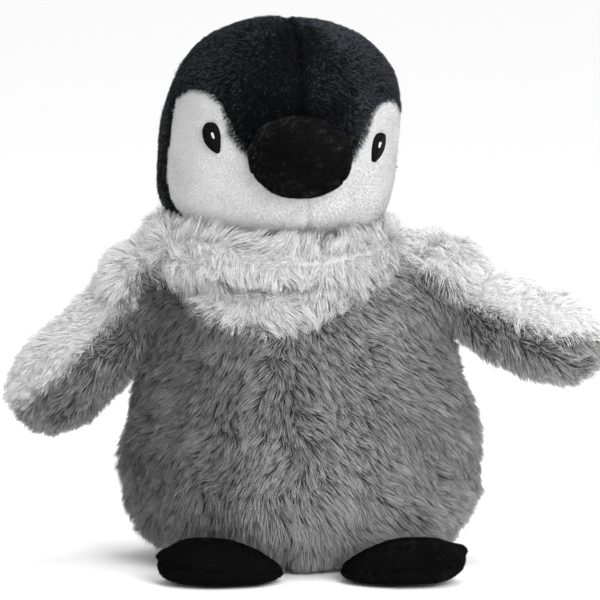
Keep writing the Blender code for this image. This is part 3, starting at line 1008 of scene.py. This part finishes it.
def build_beak():
    low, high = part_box("beak_cover")
    front = low.y
    skin = remeshed("beak_skin", ["beak_cover", "beak_stuffing"], 2.2 * MM)
    sunk(skin, -1.2 * MM)
    axis = HEAD.inverted()

    def sewn_on(points):
        local = points @ np.array(axis)[:3, :3].T + np.array(axis)[:3, 3]
        return local[:, 1] > -48 * MM

    skin = subdivided(inflated(skin, sewn_on, 2.0, 1.5 * MM))
    points = coordinates(skin.data)
    local = in_head(points)
    seam_height = (-13 - 6 * (local[:, 0] / (20 * MM)) ** 2) * MM
    seam = np.exp(-(((local[:, 2] - seam_height) / (0.9 * MM)) ** 2)) * (local[:, 1] < -52 * MM)
    points -= point_normals(skin.data) * (0.8 * MM * seam - 0.3 * MM * ripple(points, 16 * MM, 61))[:, None]
    set_coordinates(skin.data, points)
    cloth = cloth_material("beak_velour", 5, 12, tint=(0.96, 1.02, 1.0), grain=2200, bump=0.3, sheen=0.0, patch=70, gloss=0.03)
    for face in skin.data.polygons:
        face.use_smooth = True
    skin.data.materials.clear()
    skin.data.materials.append(cloth)
    fuzz = velour_fuzz("beak_nap", skin, fibre_shades("beak_nap", (4, 10, 19, 32, 50, 72), sheen=0.0, gloss=0.02), 301)
    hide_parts("beak_cover", "beak_stuffing")
    for piece in [skin] + fuzz:
        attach(piece, "head")
    return front


# ---------------------------------------------------------------- wings


def build_wing(side):
    sign = SIDES[side]
    body = f"wing_{side}"
    outer = f"{body}_outer"
    inner = f"{body}_inner"
    joint = JOINTS[f"{body}_raise"]
    hinge = Vector(joint["pos_m"])
    corners = coordinates(NODES[outer].data)
    tip = Vector(corners[np.linalg.norm(corners - np.array(hinge), axis=1).argmax()])
    outward = (tip - hinge).normalized()

    skin = remeshed(f"{body}_form", [outer, inner, f"{body}_stuffing"], 3.4 * MM)
    sunk(skin, (0.0 if side == "left" else 1.2) * MM)
    trees = [tree_of(NODES[name].data) for name in (outer, inner)]

    def edge_seam(points):
        held = np.zeros(len(points), bool)
        for i, point in enumerate(points):
            gap = trees[0].find_nearest(Vector(point))[3] - trees[1].find_nearest(Vector(point))[3]
            held[i] = abs(gap) < 1.0 * MM
        return held | ((points - np.array(hinge)) @ np.array(outward) < -6 * MM)

    skin = subdivided(inflated(skin, edge_seam, 4.5 if side == "left" else 3.0, 3.5 * MM))
    points = coordinates(skin.data)
    points += point_normals(skin.data) * (0.8 * MM * ripple(points, 24 * MM, 71 + sign))[:, None]
    upward = Vector(coordinates(NODES[outer].data).mean(axis=0) - coordinates(NODES[inner].data).mean(axis=0))
    upward = (upward - outward * upward.dot(outward)).normalized()
    along = (points - np.array(hinge)) @ np.array(outward)
    below = np.clip(-(points - np.array(hinge)) @ np.array(upward) / (12 * MM), 0, 1)
    sag = np.interp(along, [0, 30 * MM], [0, 1]) * (1.2 + 1.6 * below)
    set_coordinates(skin.data, points - np.array(upward) * (sag * MM)[:, None])
    raised = (face_centres(skin.data) - np.array(hinge)) @ np.array(upward)
    owner = np.where(raised > 6.5 * MM, 0, 1)
    light_cloth = cloth_material(f"{body}_light_backing", 178, 200, grain=700)
    dark_cloth = cloth_material(f"{body}_dark_backing", 48, 66, grain=700)
    top = cut_panel(skin, f"{body}_outer_skin", owner == 0, light_cloth)
    under = cut_panel(skin, f"{body}_inner_skin", owner == 1, dark_cloth)
    bpy.data.objects.remove(skin, do_unlink=True)

    def flow(roots, normals):
        return np.array(outward) * 0.9 + np.array((0, 0, -0.15)) + wandering(roots, 20 * MM, 0.5, 81 + sign)

    def shorter_at_root(roots):
        along = (roots - np.array(hinge)) @ np.array(outward)
        return np.interp(along, [-16 * MM, 4 * MM], [0.45, 1.0])

    light = fibre_shades(f"{body}_light_fibre", (204, 214, 222, 230, 236, 242, 247))
    dark = fibre_shades(f"{body}_dark_fibre", (100, 114, 128, 142, 156, 170, 184))
    fluffy = dict(up=1.0, lie=0.75, droop=0.05, tuft=18, pull=0.5, width=0.135 * MM, longer=shorter_at_root)

    # Painted light: the right wing's pile, top and under, is paler than the left's, as the light falls from the right.
    def wing_painted_light(roots):
        return np.full(len(roots), 0.1 if side == "left" else 2.6)

    def under_painted_light(roots):
        return np.full(len(roots), 0.0 if side == "left" else 1.6)

    grown = grow(
        f"{body}_outer_pile", top, "light_grey_plush", light, 130, 8 * MM, flow, 401 + sign,
        tone=wing_painted_light, tone_spread=0.55, root_painted_shade=0.9, **fluffy,
    )
    grown += grow(
        f"{body}_inner_pile", under, "dark_grey_plush", dark, 125, 8 * MM, flow, 411 + sign, tone=under_painted_light, **fluffy
    )
    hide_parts(outer, f"{body}_stuffing")
    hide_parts(inner)
    for piece in [top, under] + grown:
        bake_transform(piece)


# ---------------------------------------------------------------- feet


def build_foot(side):
    """A flat velour pad with a seam round it at half its height."""
    sign = SIDES[side]
    low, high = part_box(f"foot_{side}_top")
    sole_low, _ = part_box(f"foot_{side}_sole")
    seam_z = low.z
    middle = (low + high) / 2

    def outer_bump(form):
        place = Vector((middle.x + sign * 26 * MM, middle.y + 2 * MM, 9.5 * MM))
        ellipsoid(form, place, Vector((6.5, 7, 5)) * MM)

    skin = remeshed(f"foot_{side}_skin", FOOT_NODES[side] + [f"foot_{side}_stuffing"], 2.6 * MM, outer_bump)
    sunk(skin, 0.7 * MM)

    def seam(points):
        return (np.abs(points[:, 2] - seam_z) < 1.3 * MM) | (points[:, 2] < 2.5 * MM)

    skin = subdivided(inflated(skin, seam, 2.5, 2 * MM))
    mesh = skin.data
    points = coordinates(mesh)
    normals = point_normals(mesh)
    groove = np.exp(-(((points[:, 2] - seam_z) / (0.9 * MM)) ** 2))
    beside = np.exp(-(((np.abs(points[:, 2] - seam_z) - 2.4 * MM) / (1.2 * MM)) ** 2))
    wrinkle = ripple(points * np.array((1, 1, 0.35)), 9 * MM, 91 + sign) * 0.28 * MM * beside
    points += normals * (-1.1 * MM * groove + wrinkle + 0.35 * MM * ripple(points, 22 * MM, 95 + sign))[:, None]
    outward = (points[:, 0] - middle.x) * sign / MM
    height = np.interp(outward, [-34, -22, -6, 12, 30], [0.62, 0.72, 0.95, 1.06, 1.12])
    lift = np.interp(outward, [8, 32], [0.0, 3.2 if side == "right" else 1.2]) ** 1.5
    points[:, 2] = points[:, 2] * height + lift * MM * 0.6
    points[:, 2] = np.maximum(points[:, 2], 0.35 * MM)
    set_coordinates(mesh, points)
    for face in mesh.polygons:
        face.use_smooth = True
    cloth = cloth_material(f"foot_{side}_velour", 3, 12, tint=(0.94, 1.0, 0.97), grain=2200, bump=0.3, sheen=0.0, patch=60, gloss=0.03)
    mesh.materials.clear()
    mesh.materials.append(cloth)

    def above_floor(roots, normals):
        return (roots[:, 2] > 1.5 * MM) | (normals[:, 2] > -0.5)

    naps = fibre_shades(f"foot_{side}_nap", (2, 5, 9, 16, 28, 46), sheen=0.0, gloss=0.03)
    fuzz = velour_fuzz(f"foot_{side}_nap", skin, naps, 501 + sign, above_floor)
    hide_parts(*FOOT_NODES[side], f"foot_{side}_stuffing")
    tree = tree_of(mesh)
    for piece in [skin] + fuzz:
        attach(piece, f"foot_{side}")
    return tree


# ---------------------------------------------------------------- neck and label


def build_neck():
    """The gathered cloth that the head turns on, out of sight between the head and the bib."""
    skin = remeshed("neck_gather", ["neck_plug"], 2.5 * MM)
    sunk(skin, 0.8 * MM)
    skin = subdivided(skin)
    low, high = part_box("neck_plug")
    middle = (low + high) / 2
    points = coordinates(skin.data)
    turn = np.arctan2(points[:, 1] - middle.y, points[:, 0] - middle.x)
    pleats = 0.5 * MM * np.sin(turn * 18)
    set_coordinates(skin.data, points + point_normals(skin.data) * pleats[:, None])
    for face in skin.data.polygons:
        face.use_smooth = True
    skin.data.materials.clear()
    skin.data.materials.append(cloth_material("neck_cloth", 176, 200, grain=1300))
    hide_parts("neck_plug")
    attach(skin, "neck")


def build_label():
    """A blank satin tape sewn into the back's centre seam, lying over the pile."""
    low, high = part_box("care_label")
    middle = (low + high) / 2
    width = high.x - low.x
    height = high.z - low.z
    columns, rows = 24, 34
    form = bmesh.new()
    grid = []
    for j in range(rows + 1):
        t = j / rows
        lift = 10.5 * MM * math.sin(t * 0.5 * math.pi) ** 0.8
        line = []
        for i in range(columns + 1):
            s = i / columns - 0.5
            curl = 1.4 * MM * math.cos(s * math.pi) * t + 0.3 * MM * math.sin(7 * s + 5 * t)
            line.append(form.verts.new((middle.x + s * width, high.y - 1.5 * MM + lift + curl, high.z - t * height * 0.94)))
        grid.append(line)
    for upper, lower in zip(grid, grid[1:]):
        for i in range(columns):
            form.faces.new((upper[i], lower[i], lower[i + 1], upper[i + 1]))
    for face in form.faces:
        face.smooth = True
    mesh = bpy.data.meshes.new("care_label_tape")
    form.to_mesh(mesh)
    form.free()
    tape = new_object("care_label_tape", mesh)
    thick = tape.modifiers.new("thick", "SOLIDIFY")
    thick.thickness = 0.3 * MM
    tape = applied(tape)
    satin = cloth_material("satin_tape_weave", 205, 228, grain=1800, bump=0.15, sheen=0.1, rough=0.45, patch=200)
    tape.data.materials.clear()
    tape.data.materials.append(satin)
    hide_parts("care_label")
    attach(tape, "body")


# ---------------------------------------------------------------- all of it


def main():
    build_studio()
    feet = [build_foot(side) for side in SIDES]
    build_body(feet)
    places = {side: EyePlace(side) for side in SIDES}
    tree = build_head(places)
    build_beak()
    build_eyes(places, tree)
    for side in SIDES:
        build_wing(side)
    build_neck()
    build_label()


main()
